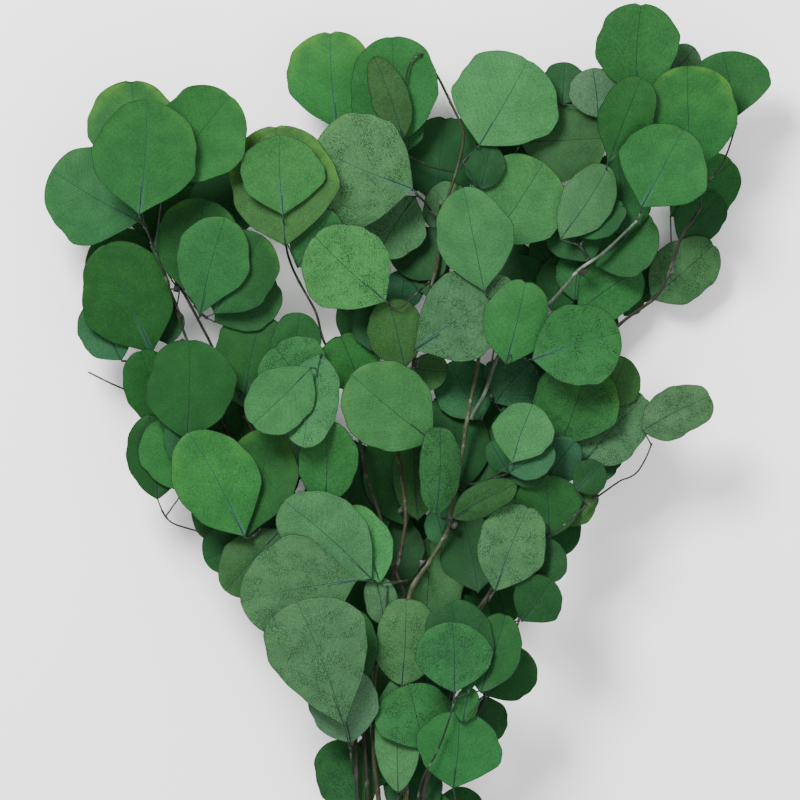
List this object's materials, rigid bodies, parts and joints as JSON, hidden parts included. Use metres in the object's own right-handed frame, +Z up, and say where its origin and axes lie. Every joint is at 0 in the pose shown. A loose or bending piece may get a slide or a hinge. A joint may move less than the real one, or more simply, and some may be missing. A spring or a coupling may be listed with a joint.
{
  "type": "eucalyptus branch",
  "caption": "Cut branch of round-leaved eucalyptus, lying down: a stem that forks into thin leaders, with side twigs that carry round grey-green leaves on short stalks.",
  "frame": {"origin": "centre of the underside of the branch's bounding box, on the surface that it lies on", "axes": "+Y from the cut end of the stem towards the leafy crown, +Z up out of the surface, +X to the right when seen from above with the crown away from the viewer"},
  "size_m": [0.4684, 0.6535, 0.108],
  "materials": {
    "leaf": "satin, leathery, grey-green",
    "bark": "matt brown bark"
  },
  "bodies": {
    "root": {"main_stem": "bark", "centre_right_stem": "bark", "centre_stem": "bark", "right_outer_stem": "bark", "left_inner_stem": "bark", "left_outer_stem": "bark", "right_inner_stem": "bark", "centre_left_stem": "bark", "low_right_stem": "bark", "left_under_spray": "leaf", "left_edge_spray": "leaf", "left_bare_twig_spray": "leaf", "left_inner_fan": "leaf", "left_low_twig": "leaf", "left_middle_leaf": "leaf", "left_low_under": "leaf", "left_low_pair": "leaf", "middle_left_leaf": "leaf", "centre_left_cluster": "leaf", "centre_top_left": "leaf", "centre_tip": "leaf", "centre_grey_pair": "leaf", "centre_left_top": "leaf", "left_top_spray": "leaf", "crown_low_pair": "leaf", "crown_top_spray": "leaf", "centre_top_right": "leaf", "right_top_pair": "leaf", "right_inner_spray": "leaf", "right_inner_top": "leaf", "centre_mid_spray": "leaf", "centre_left_round": "leaf", "right_mid_cluster": "leaf", "centre_right_fan": "leaf", "right_low_cluster": "leaf", "right_far_leaf": "leaf", "low_right_tip": "leaf", "right_speckled_leaf": "leaf", "centre_round_leaf": "leaf", "centre_right_mid": "leaf", "centre_rolled_pair": "leaf", "low_left_fan": "leaf", "low_centre_spray": "leaf", "low_right_leaf": "leaf", "low_right_mid": "leaf", "low_right_bright": "leaf", "low_left_pair": "leaf", "back_left_dark": "leaf", "back_left_low": "leaf", "back_centre_top": "leaf", "back_centre": "leaf", "back_right_centre": "leaf", "back_centre_low": "leaf", "back_middle": "leaf", "back_node": "leaf", "back_right_inner": "leaf", "back_right_dark": "leaf", "back_right_edge": "leaf", "back_low_left": "leaf", "back_low_right": "leaf"}
  },
  "joints": []
}
